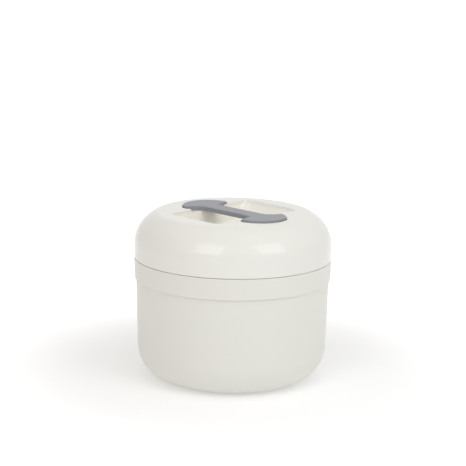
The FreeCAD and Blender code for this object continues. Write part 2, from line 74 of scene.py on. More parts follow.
def reach(node):
    """Outer radius of a packed round node."""
    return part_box(node)[1].x


# Settings
def length(name, default, description):
    """A size in metres that a user can change."""
    return bpy.props.FloatProperty(name=name, default=default, description=description,
                                   unit="LENGTH", precision=5)


def angle(name, default, description):
    """An angle in degrees that a user can change, kept in radians."""
    return bpy.props.FloatProperty(name=name, default=math.radians(default),
                                   description=description, subtype="ANGLE")


def colour(name, default, description):
    """A colour that a user can change."""
    return bpy.props.FloatVectorProperty(name=name, default=default, description=description,
                                         subtype="COLOR", size=3, min=0, max=1)


def number(name, default, description):
    """A plain number that a user can change."""
    return bpy.props.FloatProperty(name=name, default=default, description=description)


class BaseSizes(bpy.types.PropertyGroup):
    """Sizes of the body, its rim and its bowl."""
    around: bpy.props.IntProperty(name="Steps round", default=288, min=24,
                                  description="Faces round every turned piece")
    soft: length("Soft edge", 0.0003, "Rounding of small moulded edges")
    wall: length("Wall", 0.0026, "Wall of the body shell and of the lid")
    band_step: length("Band step", 0.0017, "The collar stands this far out from the body")
    band_taper: length("Band taper", 0.0010, "The collar draws in by this to its lower edge")
    band_groove: length("Band groove", 0.0004, "Fine groove under the collar")
    band_edge: length("Band edge", 0.0008, "Rounding of the collar's upper edge")
    body_taper: length("Body taper", 0.0019, "The body's wall draws in by this down to its bend")
    foot_bend: length("Foot bend", 0.0390, "Radius of the body's rounded bottom edge")
    well_step: length("Well step", 0.0053, "The underside's well is this much wider than the bend")
    floor_gap: length("Floor gap", 0.0026, "The shell's floor above the lowest point of its rim")
    floor_plate: length("Floor plate", 0.0024, "Thickness of the shell's floor")
    plug_hole: length("Plug hole", 0.0092, "Radius of the hole that a foam plug closes")
    rim_width: length("Rim width", 0.0073, "The collar's outside to the lid's socket")
    collar_wall: length("Collar wall", 0.0024, "Wall of the collar and of its seat")
    ledge_width: length("Ledge width", 0.0120, "Seat under the bowl's flange")
    spigot_rise: length("Spigot rise", 0.0090, "The body's spigot inside the collar")
    spigot_wall: length("Spigot wall", 0.0020, "Wall of the body's spigot")
    bowl_wall: length("Bowl wall", 0.0008, "Sheet that the bowl is pressed from")
    bowl_inset: length("Bowl inset", 0.0030, "The bowl's mouth inside the seat's edge")
    bowl_taper: length("Bowl taper", 0.0040, "The bowl narrows by this to its floor bend")
    bowl_bend: length("Bowl bend", 0.0240, "Radius inside the bowl's floor bend")
    bowl_middle: length("Bowl middle", 0.0200, "The bowl's floor is one flat face within this")
    mouth_bend: length("Mouth bend", 0.0022, "Radius where the bowl turns out into its flange")
    catch_reach: length("Catch reach", 0.0028, "The catches stand this far into the socket")
    catch_height: length("Catch height", 0.0032, "Height of each catch")
    catch_drop: length("Catch drop", 0.0008, "The catches' top below the rim")
    catch_span: angle("Catch span", 36, "Each catch's share of the turn")
    foot_width: length("Foot width", 0.0080, "Width of the foot ring")
    foot_groove: length("Foot groove", 0.0004, "Depth of the groove under the foot ring")
    fit: length("Fit", 0.0002, "Gap between pieces that are assembled")


class LidSizes(bpy.types.PropertyGroup):
    """Sizes of the lid and its inner pieces."""
    wall_rise: length("Wall rise", 0.0167, "Parting line to where the shoulder starts")
    shoulder_width: length("Shoulder width", 0.0274, "The lid's wall to the flat top's edge")
    crown_angle: angle("Crown angle", 16.8, "Slope of the shoulder at the flat top's edge")
    crown_pull: length("Crown pull", 0.0110, "How long the shoulder keeps that slope")
    shoulder_pull: length("Shoulder pull", 0.0226, "How long the shoulder keeps upright")
    recess_length: length("Recess length", 0.1380, "Finger recess across the bar")
    recess_width: length("Recess width", 0.0860, "Finger recess along the bar")
    recess_corner: length("Recess corner", 0.0110, "Corner radius of the recess in plan")
    recess_depth: length("Recess depth", 0.0250, "Depth of the recess")
    end_slope: length("End slope", 0.0220, "The recess's ends draw in by this down to its floor")
    side_slope: length("Side slope", 0.0020, "The recess's sides draw in by this")
    recess_lip: length("Recess lip", 0.0014, "Rounded edge of the recess")
    recess_bend: length("Recess bend", 0.0060, "Rounded foot of the recess's walls")
    seat_wall: length("Seat wall", 0.0024, "Lid under the wings' seats")
    seat_lip: length("Seat lip", 0.0013, "Softened edge of the wings' seats, how deep")
    seat_lip_width: length("Seat lip width", 0.0026, "Softened edge of the wings' seats, how wide")
    lug_reach: length("Lug reach", 0.0024, "The lock lugs stand this far out of their ring")
    lug_height: length("Lug height", 0.0032, "Height of each lock lug")
    lug_span: angle("Lug span", 28, "Each lug's share of the turn")
    lug_lead: angle("Lug lead", 36, "Middle of a lug from the middle of a catch, unlocked")
    ring_wall: length("Ring wall", 0.0030, "Wall of the lock ring")
    shelf_width: length("Shelf width", 0.0074, "Shelf that carries the liner")
    shelf_wall: length("Shelf wall", 0.0022, "Thickness of the shelf and of the ring's flange")
    liner_wall: length("Liner wall", 0.0012, "Wall of the liner")
    liner_edge: length("Liner edge", 0.0012, "The liner's wall inside the shelf's edge")
    liner_bend: length("Liner bend", 0.0050, "Rounded edge of the liner's dish")
    liner_drop: length("Liner drop", 0.0060, "The liner's floor below its shelf")
    plug_edge: length("Plug edge", 0.0009, "Rounded edge of the foam plug's head")
    plug_middle: length("Plug middle", 0.0010, "The plug's ends are one flat face within this")
    gasket_lip: length("Gasket lip", 0.0020, "Thickness of the gasket's lips")
    gasket_neck: length("Gasket neck", 0.0024, "Wall between the gasket's lips")


class HandleSizes(bpy.types.PropertyGroup):
    """Sizes of the handle, u along its bar and v across it."""
    bearing: angle("Bearing", 135, "Direction of the left wing in plan, from +X")
    edge: length("Edge", 0.0016, "Rounded upper edge of the handle")
    draft: length("Draft", 0.0003, "The handle's sides draw in by this to that edge")
    tip: length("Tip", 0.0016, "Rounded corners of the wings in plan")
    bar_width: length("Bar width", 0.0240, "Width of the bar")
    wing_reach: length("Wing reach", 0.0780, "Middle of the handle to the wing's end")
    notch_start: length("Notch start", 0.0389, "Where the bar steps out to the long tip")
    long_tip_u: length("Long tip u", 0.0460, "Long tip along the bar")
    long_tip_v: length("Long tip v", 0.0346, "Long tip across the bar")
    short_tip_u: length("Short tip u", 0.0510, "Short tip along the bar")
    short_tip_v: length("Short tip v", 0.0300, "Short tip across the bar")
    hollow_u: length("Hollow u", 0.0470, "Deepest point of the hollow back along the bar")
    hollow_v: length("Hollow v", 0.0165, "Deepest point of the hollow back across the bar")
    hollow_start: length("Hollow start", 0.0370, "Where the hollow back leaves the bar")
    skin: length("Skin", 0.0022, "Wall of the handle's cover")


class Colours(bpy.types.PropertyGroup):
    """Colours of the finishes."""
    lid: colour("Lid", (0.835, 0.829, 0.790), "Glossy cream of the lid")
    # The recess colour and its reach are painted light: paler and warmer than the lid for the light
    # bouncing round inside the recess.
    recess: colour("Recess", (0.940, 0.915, 0.845), "The lid's finger recess")
    recess_light_start: length("Recess start", 0.0005, "Its colour starts this far under the flat top")
    recess_light_full: length("Recess full", 0.0060, "Its colour is full this far under the flat top")
    recess_light_reach: length("Recess reach", 0.0840, "Its colour is full within this radius")
    recess_light_end: length("Recess end", 0.0920, "Its colour is gone beyond this radius")
    body: colour("Body", (0.8, 0.795, 0.748), "Satin cream of the body and the collar")
    handle: colour("Handle", (0.285, 0.298, 0.332), "Grey of the handle")
    steel: colour("Steel", (0.640, 0.635, 0.620), "Stainless steel")
    silicone: colour("Silicone", (0.600, 0.600, 0.580), "Seal and gasket")
    rubber: colour("Rubber", (0.045, 0.045, 0.047), "Foot ring")
    foam: colour("Foam", (0.780, 0.680, 0.420), "Insulating foam")
    zinc: colour("Zinc", (0.560, 0.570, 0.580), "Screws and washers")
    liner: colour("Liner", (0.840, 0.840, 0.815), "Dish under the lid")
    floor: colour("Floor", (0.75, 0.75, 0.755), "Floor that it stands on")


class Studio(bpy.types.PropertyGroup):
    """Camera, lamps, surroundings and floor."""
    place: bpy.props.FloatVectorProperty(name="Camera place", size=3, subtype="TRANSLATION",
                                         default=(0.0003, -1.6685, 0.5305),
                                         description="Where the photograph was taken from")
    pitch: angle("Pitch", 11.987, "The camera looks down by this")
    roll: angle("Roll", 0.973, "The camera is turned by this about its own axis")
    lens: number("Lens", 108.15, "Focal length in mm")
    sensor: number("Sensor", 36.0, "Sensor width in mm")
    image: bpy.props.IntProperty(name="Image", default=466, description="Pixels on each side")
    half_pixel: number("Half pixel", 0.5, "Pixels are counted from their middles")
    lamp_distance: length("Lamp distance", 1.6, "The softboxes from the lid")
    left_bearing: angle("Left lamp bearing", -29, "Left softbox round the object, 0 is the front")
    right_bearing: angle("Right lamp bearing", 47, "Right softbox round the object")
    lamp_rise: angle("Lamp rise", 32, "Both softboxes above the horizon")
    lamp_width: length("Lamp width", 0.80, "Width of a softbox")
    lamp_height: length("Lamp height", 0.86, "Height of a softbox")
    left_power: number("Left power", 4.3, "Watts")
    right_power: number("Right power", 4.2, "Watts")
    fill_bearing: angle("Fill bearing", 8, "Large front light round the object")
    fill_rise: angle("Fill rise", 66, "Large front light above the horizon")
    fill_distance: length("Fill distance", 2.4, "Large front light from the lid")
    fill_size: length("Fill size", 1.8, "Width and height of the large front light")
    fill_power: number("Fill power", 8.0, "Watts")
    ambient: number("Ambient", 0.22, "Light from the horizon, where 1 is white")
    overhead: number("Overhead", 0.55, "Added to the light from straight above")
    side_share: number("Side share", 0.26, "The right is brighter by this, the left dimmer")
    warm: colour("Warm side", (1.0, 0.952, 0.845), "Tint of the light from the left")
    glow: number("Glow", 0.28, "Light that the floor gives back besides its colour")
    floor_lift: number("Floor lift", 0.30, "Added to the near floor as the camera sees it")
    far_lift: number("Far lift", 0.60, "Added to the far floor as the camera sees it")
    near: length("Near floor", 0.17, "The near floor reaches this far")
    far: length("Far floor", 0.42, "The far floor starts here")
    floor_size: length("Floor size", 60.0, "Side of the floor")


GROUPS = {"casserole_base": BaseSizes, "casserole_lid": LidSizes, "casserole_handle": HandleSizes,
          "casserole_colours": Colours, "casserole_studio": Studio}


# Surfaces
class Shape:
    """Points and faces of a piece, gathered from grids."""

    def __init__(self):
        self.points = []
        self.faces = []
        self.count = 0

    def add(self, grid, loop=False):
        """A grid of points (rows, around, 3), closed round each row.

        Face (i, j) joins rows i and i + 1 and columns j and j + 1. With loop the last row joins
        the first. Otherwise each end row is closed by one flat face.
        """
        rows, around = grid.shape[:2]
        index = np.arange(rows * around).reshape(rows, around) + self.count
        low = index if loop else index[:-1]
        high = np.roll(index, -1, 0) if loop else index[1:]
        quads = np.stack([low, np.roll(low, -1, 1), np.roll(high, -1, 1), high], -1)
        self.faces += quads.reshape(-1, 4).tolist()
        if not loop:
            self.faces += [index[0, ::-1].tolist(), index[-1].tolist()]
        self.points.append(grid.reshape(-1, 3))
        self.count += rows * around

    def make(self, name):
        """The object, with its faces pointing outwards and its steep edges left sharp."""
        mesh = bpy.data.meshes.new(name)
        mesh.from_pydata(np.concatenate(self.points), [], self.faces)
        tidy = bmesh.new()
        tidy.from_mesh(mesh)
        bmesh.ops.recalc_face_normals(tidy, faces=tidy.faces)
        tidy.to_mesh(mesh)
        tidy.free()
        piece = bpy.data.objects.new(name, mesh)
        bpy.context.scene.collection.objects.link(piece)
        smooth(piece)
        return piece


def smooth(piece, crease=35):
    """Smooth faces, sharp edges above an angle in degrees, and normals led by the large faces."""
    piece.data.shade_smooth()
    piece.data.set_sharp_from_angle(angle=math.radians(crease))
    piece.modifiers.new("normals", "WEIGHTED_NORMAL").keep_sharp = True


def section(corners, steps=6):
    """Points of a section from corners (r, z, radius), or (r, z) for the soft edge's radius.

    A corner with a radius becomes an arc tangent to both its sides: the arc's centre is on the
    bisector, radius / sin(half angle) away, and the arc starts radius / tan(half angle) along
    each side. A corner with radius 0 stays a point.
    """
    places = np.array([corner[:2] for corner in corners])
    before = np.roll(places, 1, 0) - places
    after = np.roll(places, -1, 0) - places
    before /= np.linalg.norm(before, axis=1)[:, None]
    after /= np.linalg.norm(after, axis=1)[:, None]
    share = np.linspace(0, 1, steps + 1)[:, None]
    made = []
    for place, a, b, corner in zip(places, before, after, corners):
        radius = corner[2] if len(corner) > 2 else bpy.context.scene.casserole_base.soft
        if radius == 0:
            made.append(place[None])
            continue
        half = math.acos(max(-1.0, min(1.0, float(a @ b)))) / 2
        centre = place + (a + b) / np.linalg.norm(a + b) * radius / math.sin(half)
        start = place + a * radius / math.tan(half) - centre
        end = place + b * radius / math.tan(half) - centre
        sweep = math.pi - 2 * half
        made.append(centre + (np.sin((1 - share) * sweep) * start + np.sin(share * sweep) * end)
                    / math.sin(sweep))
    return np.concatenate(made)


def bow(centre, radius, start, end, steps):
    """Corners with radius 0 along an arc about (r, z), between two angles in radians."""
    turn = np.linspace(start, end, steps)
    return [(centre[0] + radius * math.cos(a), centre[1] + radius * math.sin(a), 0) for a in turn]


def directions():
    """Angles of the steps round every turned piece, as one row."""
    around = bpy.context.scene.casserole_base.around
    return np.arange(around)[None] / around * TURN


def polar(radius, turn, height):
    """Points x = r cos a, y = r sin a, z = z of radii, angles and heights."""
    return np.stack(np.broadcast_arrays(radius * np.cos(turn), radius * np.sin(turn), height), -1)


def turned(name, corners, loop=True, steps=6):
    """A section carried round Z: a ring from a closed one, a full round piece without loop."""
    profile = section(corners, steps)
    shape = Shape()
    shape.add(polar(profile[:, :1], directions(), profile[:, 1:]), loop)
    return shape.make(name)


def arc_blocks(name, inner, outer, low, high, lead, span):
    """Four curved blocks a quarter turn apart: a rounded rectangle carried round part of a turn.

    Near each end the rectangle draws in along a quarter circle of the soft edge's radius, so the
    end faces are rounded too.
    """
    soft = bpy.context.scene.casserole_base.soft
    end = soft / outer
    share = np.linspace(1, 0, 5)[:-1]
    inset = soft * (1 - np.sqrt(1 - share ** 2))
    ease = np.concatenate([inset, np.zeros(16), inset[::-1]])
    travel = end * (1 - share)
    turn = np.concatenate([travel, np.linspace(end, span - end, 16), span - travel[::-1]])
    box = section([(inner, low), (outer, low), (outer, high), (inner, high)])
    inwards = np.repeat([(1, 1), (-1, 1), (-1, -1), (1, -1)], len(box) // 4, 0)
    r, z = np.moveaxis(box + ease[:, None, None] * inwards, -1, 0)
    shape = Shape()
    for quarter in range(4):
        shape.add(polar(r, turn[:, None] + lead + quarter * TURN / 4 - span / 2, z))
    return shape.make(name)


# Plan of the handle
def arc_through(a, b, c, steps=48):
    """Points of the circle through three points, from the first by the second to the third."""
    (ax, ay), (bx, by), (cx, cy) = a, b, c
    d = 2 * (ax * (by - cy) + bx * (cy - ay) + cx * (ay - by))
    squares = [x * x + y * y for x, y in (a, b, c)]
    x = (squares[0] * (by - cy) + squares[1] * (cy - ay) + squares[2] * (ay - by)) / d
    y = (squares[0] * (cx - bx) + squares[1] * (ax - cx) + squares[2] * (bx - ax)) / d
    angles = np.unwrap([math.atan2(p[1] - y, p[0] - x) for p in (a, b, c)])
    turn = np.linspace(angles[0], angles[2], steps)
    radius = math.hypot(ax - x, ay - y)
    return np.stack([x + radius * np.cos(turn), y + radius * np.sin(turn)], -1)


def trimmed(line, start, end):
    """A line of points shortened by a length at its start and at its end."""
    run = np.concatenate([[0], np.cumsum(np.linalg.norm(np.diff(line, axis=0), axis=1))])
    at = np.linspace(start, run[-1] - end, len(line))
    return np.stack([np.interp(at, run, line[:, k]) for k in (0, 1)], -1)


def softened(lines, radii, steps=8):
    """One closed outline of lines end to end, with each joint rounded by its radius.

    A joint that turns by t is cut back radius * tan(t / 2) on both sides, and the cut ends are
    bridged by the arc that turns by t between them, whose centre is half the gap / tan(t / 2)
    behind the middle of the gap.
    """
    ways = [(line[1] - line[0], line[-1] - line[-2]) for line in lines]
    turns = []
    for index in range(len(lines)):
        a = ways[index - 1][1] / np.linalg.norm(ways[index - 1][1])
        b = ways[index][0] / np.linalg.norm(ways[index][0])
        turns.append(math.acos(float(a @ b)))
    cuts = [radius * math.tan(turn / 2) for radius, turn in zip(radii, turns)]
    made = []
    for index, line in enumerate(lines):
        after = (index + 1) % len(lines)
        kept = trimmed(line, cuts[index], cuts[after])
        ahead = trimmed(lines[after], cuts[after], 0)[0]
        middle = (kept[-1] + ahead) / 2
        away = middle - lines[after][0]
        back = np.linalg.norm(ahead - middle) / math.tan(turns[after] / 2)
        centre = middle + away / np.linalg.norm(away) * back
        s = np.linspace(0, turns[after], steps)[1:-1, None]
        made += [kept, centre + (np.sin(turns[after] - s) * (kept[-1] - centre)
                                 + np.sin(s) * (ahead - centre)) / math.sin(turns[after])]
    return np.concatenate(made)


def swung(plan):
    """Points along and across the handle's bar, turned to its bearing."""
    bearing = bpy.context.scene.casserole_handle.bearing
    c, n = math.cos(bearing), math.sin(bearing)
    return plan @ np.array([[c, n], [-n, c]])


def raised(plan, height):
    """Points of a plan at a height."""
    return np.column_stack([plan, np.full(len(plan), height)])


def handle_plan(grow):
    """Plan of the handle in X and Y, grown by an amount all round, or shrunk where negative.

    One half is a straight step to the long tip, the wing's round end, the hollow back and the
    bar's edge; the other is the same turned by half a turn. Each point moves by the amount along
    the mitre of its two sides, (n1 + n2) / (1 + n1 . n2).
    """
    s = bpy.context.scene.casserole_handle
    side = s.bar_width / 2
    notch = np.array([s.notch_start, -side])
    long_tip = np.array([s.long_tip_u, -s.long_tip_v])
    short_tip = np.array([s.short_tip_u, s.short_tip_v])
    back = np.array([s.hollow_start, side])
    half = [np.array([notch, long_tip]),
            arc_through(long_tip, (s.wing_reach, 0), short_tip),
            arc_through(short_tip, (s.hollow_u, s.hollow_v), back),
            np.array([back, -notch])]
    tip = max(s.tip, -1.2 * grow)
    crook = s.tip / 4 + max(grow, 0)
    plan = softened(half + [-line for line in half], [crook, tip, tip, crook] * 2)
    along = np.roll(plan, -1, 0) - plan
    along /= np.linalg.norm(along, axis=1)[:, None]
    out = np.stack([along[:, 1], -along[:, 0]], -1)
    was = np.roll(out, 1, 0)
    mitre = (out + was) / (1 + (out * was).sum(1))[:, None]
    return swung(plan + grow * mitre)


def plan_rows(rows):
    """Grid of the handle's plan at (growth, height) rows."""
    return np.array([raised(handle_plan(grow), height) for grow, height in rows])


def room_plan(grow):
    """Plans of the rooms beside the wings' hollow backs, as two rectangles grown by a wall."""
    s = bpy.context.scene.casserole_handle
    lid = bpy.context.scene.casserole_lid
    start = lid.recess_width / 2 - lid.side_slope
    u = np.array([start, s.short_tip_u + grow, s.short_tip_u + grow, start])
    v = np.array([s.bar_width / 2, s.bar_width / 2, s.short_tip_v + grow, s.short_tip_v + grow])
    room = swung(np.stack([u, v], -1))
    return [room, -room]


def inside_plan(x, y, a):
    """Whether points lie inside a plan.

    A point is inside when a line from it towards +X crosses the outline an odd number of times.
    """
    b = np.roll(a, -1, 0)
    x, y = x[..., None], y[..., None]
    spans = (a[:, 1] > y) != (b[:, 1] > y)
    slope = (b[:, 0] - a[:, 0]) / np.where(b[:, 1] == a[:, 1], 1, b[:, 1] - a[:, 1])
    crosses = spans & (x < a[:, 0] + (y - a[:, 1]) * slope)
    return crosses.sum(-1) % 2 == 1


# Lid surface
def recess_half(rim, draw, drop, lip, bend, depth):
    """Half size of the recess at drops below its top.

    The lip is an arc of the flat top's edge, the wall draws in evenly, and the floor's bend is an
    arc: both arcs are tangent to the wall, whose slope is atan(depth / draw).
    """
    slope = math.atan2(depth, draw)
    back = math.tan(slope / 2)
    rise = depth - drop
    wall = rim - drop * draw / depth
    at_lip = rim + lip * back - np.sqrt(np.maximum(2 * lip * drop - drop ** 2, 0))
    at_bend = rim - draw - bend * back + np.sqrt(np.maximum(2 * bend * rise - rise ** 2, 0))
    half = np.where(drop < lip * (1 - math.cos(slope)), at_lip, wall)
    return np.where(rise < bend * (1 - math.cos(slope)), at_bend, half)


def block_radius(half_u, half_v, corner, turn):
    """Distance from the middle to the edge of a rounded rectangle in each direction.

    The edge is a side (half_u / |cos|), an end (half_v / |sin|) or, between them, the corner's
    circle about (half_u - corner, half_v - corner).
    """
    bearing = bpy.context.scene.casserole_handle.bearing
    u, v = np.abs(np.cos(turn - bearing)), np.abs(np.sin(turn - bearing))
    side = half_u / np.maximum(u, 1e-9)
    end = half_v / np.maximum(v, 1e-9)
    cu, cv = half_u - corner, half_v - corner
    along = cu * u + cv * v
    arc = along + np.sqrt(np.maximum(along ** 2 - cu ** 2 - cv ** 2 + corner ** 2, 0))
    return np.where(side * v <= cv, side, np.where(end * u <= cu, end, arc))


def lid_half(inset, turn, flat_rows):
    """Rows (radius, height) of the lid's skin at an inset, from the wall to the recess's floor.

    The shoulder is the curve (1-t)^3 A + 3 (1-t)^2 t B + 3 (1-t) t^2 C + t^3 D. The flat top runs
    straight from its circle to the recess's edge, and the recess is a rounded rectangle at every
    height.
    """
    s = bpy.context.scene.casserole_lid
    seam = top("collar_ring")
    peak = top("lid_cover")
    rise = peak - seam
    wall_radius = reach("lid_cover") - inset
    wall_height = seam + s.wall_rise
    scale = 1 - inset / (rise - s.wall_rise)
    flat_radius = reach("lid_cover") - s.shoulder_width - inset * math.tan(s.crown_angle / 2)
    pull = s.crown_pull * scale
    curve = np.array([(wall_radius, wall_height),
                      (wall_radius, wall_height + s.shoulder_pull * scale),
                      (flat_radius + pull * math.cos(s.crown_angle),
                       peak - inset - pull * math.sin(s.crown_angle)),
                      (flat_radius, peak - inset)])
    t = np.linspace(0, 1, 36)[:, None]
    shoulder = ((1 - t) ** 3 * curve[0] + 3 * (1 - t) ** 2 * t * curve[1]
                + 3 * (1 - t) * t ** 2 * curve[2] + t ** 3 * curve[3])
    lip = s.recess_lip if inset == 0 else s.seat_lip
    bend = s.recess_bend + inset
    depth = s.recess_depth
    half_turn = np.linspace(0, math.pi / 2, 9)
    drop = np.concatenate([lip * (1 - np.cos(half_turn)),
                           np.linspace(lip * 1.5, depth - bend * 1.05, 7),
                           depth - bend * (1 - np.cos(half_turn[::-1]))])
    half_u = recess_half(s.recess_width / 2 + inset, s.side_slope, drop, lip, bend, depth)
    half_v = recess_half(s.recess_length / 2 + inset, s.end_slope, drop, lip, bend, depth)
    corner = s.recess_corner + inset + half_u - (s.recess_width / 2 + inset
                                                 - drop * s.side_slope / depth)
    rim = block_radius(half_u[:, None], half_v[:, None], corner[:, None], turn)
    share = np.linspace(0, 1, flat_rows)[1:-1, None]
    flat = flat_radius + (rim[0] - flat_radius) * share
    floor = rim[-1] * np.array([0.6, 0.25])[:, None]
    radius = np.concatenate([shoulder[:, :1] + 0 * turn, flat, rim, floor])
    height = np.concatenate([shoulder[:, 1], np.full(len(flat), peak - inset),
                             peak - inset - drop, np.full(len(floor), peak - inset - depth)])
    return radius, height[:, None] + 0 * turn


def lid_surface():
    """The whole lid: inner skin from its middle out, the lower edge, and the outer skin back in.

    Under the wings' seats the inner skin is no higher than the underside of the seats' wall.
    """
    b = bpy.context.scene.casserole_base
    s = bpy.context.scene.casserole_lid
    turn = directions()
    radius, height = lid_half(b.wall, turn, 40)
    under = False
    for plan in (handle_plan(b.wall), *room_plan(b.wall)):
        under |= inside_plan(radius * np.cos(turn), radius * np.sin(turn), plan)
    under &= height > top("lid_cover") - s.recess_depth / 2
    seat = foot("handle_cap") - b.fit - s.seat_wall
    height = np.where(under, np.minimum(height, seat), height)
    outer_radius, outer_height = lid_half(0, turn, 6)
    low = foot("lid_cover")
    above = low + s.wall_rise
    outer_edge = reach("lid_cover")
    inner_edge = outer_edge - b.wall
    lip = section([(inner_edge, above, 0), (inner_edge, low), (outer_edge, low, b.soft * 2),
                   (outer_edge, above, 0)])[1:-1]
    radius = np.concatenate([radius[::-1], lip[:, :1] + 0 * turn, outer_radius])
    height = np.concatenate([height[::-1], lip[:, 1:] + 0 * turn, outer_height])
    return polar(radius, turn, height)


def carved(piece, cutter, crease):
    """Cut a piece by another, which is removed, and smooth it again."""
    cut = piece.modifiers.new("cut", "BOOLEAN")
    cut.operation = "DIFFERENCE"
    cut.solver = "EXACT"
    cut.use_self = True
    cut.object = cutter
    piece.modifiers.remove(piece.modifiers["normals"])
    graph = bpy.context.evaluated_depsgraph_get()
    mesh = bpy.data.meshes.new_from_object(piece.evaluated_get(graph))
    piece.modifiers.clear()
    piece.data = mesh
    mesh.name = piece.name
    bpy.data.objects.remove(cutter)
    smooth(piece, crease)


# Finishes
class Value:
    """A socket in sums: each sign adds the Math node that works it out."""

    def __init__(self, nodes, socket):
        self.nodes = nodes
        self.socket = socket

    def _sum(self, operation, a, b):
        return self.nodes.node("ShaderNodeMath", {"operation": operation}, {0: a, 1: b})

    def __add__(self, other):
        return self._sum("ADD", self, other)

    def __mul__(self, other):
        return self._sum("MULTIPLY", self, other)

    def __rsub__(self, other):
        return self._sum("SUBTRACT", other, self)

    def __pow__(self, other):
        return self._sum("POWER", self, other)

    def at_least(self, other):
        return self._sum("MAXIMUM", self, other)


class Nodes:
    """The nodes of a material or of the world."""

    def __init__(self, tree):
        self.tree = tree

    def feed(self, socket, value):
        """Link a socket to a value, or set it."""
        if isinstance(value, Value):
            self.tree.links.new(value.socket, socket)
        else:
            socket.default_value = value

    def node(self, kind, settings=None, inputs=None, out=0):
        """Add a node: its settings first, then the values or links of its sockets."""
        made = self.tree.nodes.new(kind)
        for key, value in (settings or {}).items():
            setattr(made, key, value)
        for key, value in (inputs or {}).items():
            self.feed(made.inputs[key], value)
        return Value(self, made.outputs[out])

    def axis(self, vector, name):
        """One coordinate of a vector."""
        return self.node("ShaderNodeSeparateXYZ", None, {0: vector}, name)

    def range(self, value, low, high, to_low=0.0, to_high=1.0):
        """A value carried smoothly from one range to another."""
        return self.node("ShaderNodeMapRange", {"interpolation_type": "SMOOTHSTEP"},
                         {"Value": value, "From Min": low, "From Max": high, "To Min": to_low,
                          "To Max": to_high}, "Result")

    def mixed(self, share, a, b):
        """A colour that goes from a to b as the share goes from 0 to 1."""
        a, b = (ink if isinstance(ink, Value) else (*ink, 1) for ink in (a, b))
        return self.node("ShaderNodeMix", {"data_type": "RGBA"},
                         {"Factor": share, "A": a, "B": b}, "Result")

    def seen(self):
        """1 for rays that show the surroundings: camera, glossy and transmitted ones."""
        camera = self.node("ShaderNodeLightPath", out="Is Camera Ray")
        glossy = self.node("ShaderNodeLightPath", out="Is Glossy Ray")
        through = self.node("ShaderNodeLightPath", out="Is Transmission Ray")
        return camera.at_least(glossy).at_least(through)


class Paint(Nodes):
    """A node material on one Principled shader, read from Object coordinates."""

    def __init__(self, name, base, **constants):
        self.material = bpy.data.materials.new(name)
        self.material.use_nodes = True
        super().__init__(self.material.node_tree)
        self.shader = self.tree.nodes["Principled BSDF"]
        self.base = base
        self.set("Base Color", (*base, 1))
        for socket, value in constants.items():
            self.set(socket.replace("_", " "), value)
        self.place = self.node("ShaderNodeTexCoord", out="Object")
        self.height = None

    def set(self, socket, value):
        """Set or link a socket of the shader."""
        self.feed(self.shader.inputs[socket], value)

    def noise(self, scale, detail=2.0, rough=0.5, place=None):
        """Noise from 0 to 1 with this many waves a metre."""
        return self.node("ShaderNodeTexNoise", None,
                         {"Vector": place or self.place, "Scale": scale, "Detail": detail,
                          "Roughness": rough}, "Fac")

    def stretched(self, x, y, z):
        """Object coordinates scaled by each amount."""
        return self.node("ShaderNodeVectorMath", {"operation": "MULTIPLY"},
                         {0: self.place, 1: (x, y, z)}, "Vector")

    def shade(self, mask, darker):
        """Base colour that goes to a darker one where the mask is 1."""
        self.tint(mask, [channel * (1 - share) for channel, share in zip(self.base, darker)])

    def tint(self, mask, other):
        """Base colour that goes to another one where the mask is 1."""
        self.base = self.mixed(mask, self.base, other)
        self.set("Base Color", self.base)

    def bump(self, height, distance):
        """Add relief: the height from 0 to 1 stands for this distance in metres."""
        before = {} if self.height is None else {"Normal": self.height}
        self.height = self.node("ShaderNodeBump", None,
                                {"Height": height, "Distance": distance, "Strength": 1.0, **before},
                                "Normal")
        self.set("Normal", self.height)

    def radius(self):
        """Distance from the Z axis."""
        x, y = self.axis(self.place, "X"), self.axis(self.place, "Y")
        return (x * x + y * y) ** 0.5

    def up(self):
        """Height above the floor."""
        return self.axis(self.place, "Z")

    def point(self, x, y, z):
        """A vector of three values."""
        return self.node("ShaderNodeCombineXYZ", None, {"X": x, "Y": y, "Z": z}, "Vector")


def lid_cream(name, base):
    """The lid's gloss, with painted light in the recess: paler and warmer there, for the light that
    bounces round inside it and glows through the plastic.
    """
    s = bpy.context.scene.casserole_colours
    paint = gloss(name, base)
    peak = top("lid_cover")
    low = paint.range(paint.up(), peak - s.recess_light_start, peak - s.recess_light_full)
    inside = paint.range(paint.radius(), s.recess_light_end, s.recess_light_reach)
    # Painted light: the recess is tinted paler and warmer for the light bouncing round inside it.
    paint.tint(low * inside, tuple(s.recess))
    return paint.material


def gloss_cream(name, base):
    """Glossy moulded plastic."""
    return gloss(name, base).material


def gloss(name, base):
    """Glossy moulded plastic: soft flow of tone, fine haze, hairline rubs and orange peel."""
    paint = Paint(name, base, Roughness=0.08, IOR=1.46)
    tone = paint.noise(14, 3, 0.55)
    paint.shade(tone, (0.012, 0.014, 0.030))
    haze = paint.range(paint.noise(38, 4, 0.6), 0.35, 0.75)
    rub = paint.range(paint.noise(1, 2, 0.5, paint.stretched(90, 1500, 400)), 0.62, 0.78)
    paint.set("Roughness", haze * 0.03 + rub * 0.05 + 0.055)
    paint.bump(paint.noise(260, 2, 0.4), 0.000012)
    paint.bump(rub, 0.0000015)
    return paint


def satin_cream(name, base):
    """Satin moulded plastic: spark-worn grain, soft tone, and a foot slightly darker and duller
    towards the floor.
    """
    paint = Paint(name, base, Roughness=0.4, IOR=1.49)
    tone = paint.noise(11, 3, 0.55)
    near_floor = paint.range(paint.up(), 0.03, 0.0)
    # Darker towards the floor over the lowest 30 mm.
    paint.shade(tone * 0.8 + near_floor * 0.6, (0.014, 0.016, 0.032))
    grain = paint.noise(2200, 2, 0.6)
    haze = paint.noise(30, 4, 0.6)
    paint.set("Roughness", haze * 0.10 + grain * 0.08 + near_floor * 0.08 + 0.33)
    paint.bump(grain, 0.000014)
    paint.bump(paint.noise(140, 2, 0.4), 0.000015)
    return paint.material


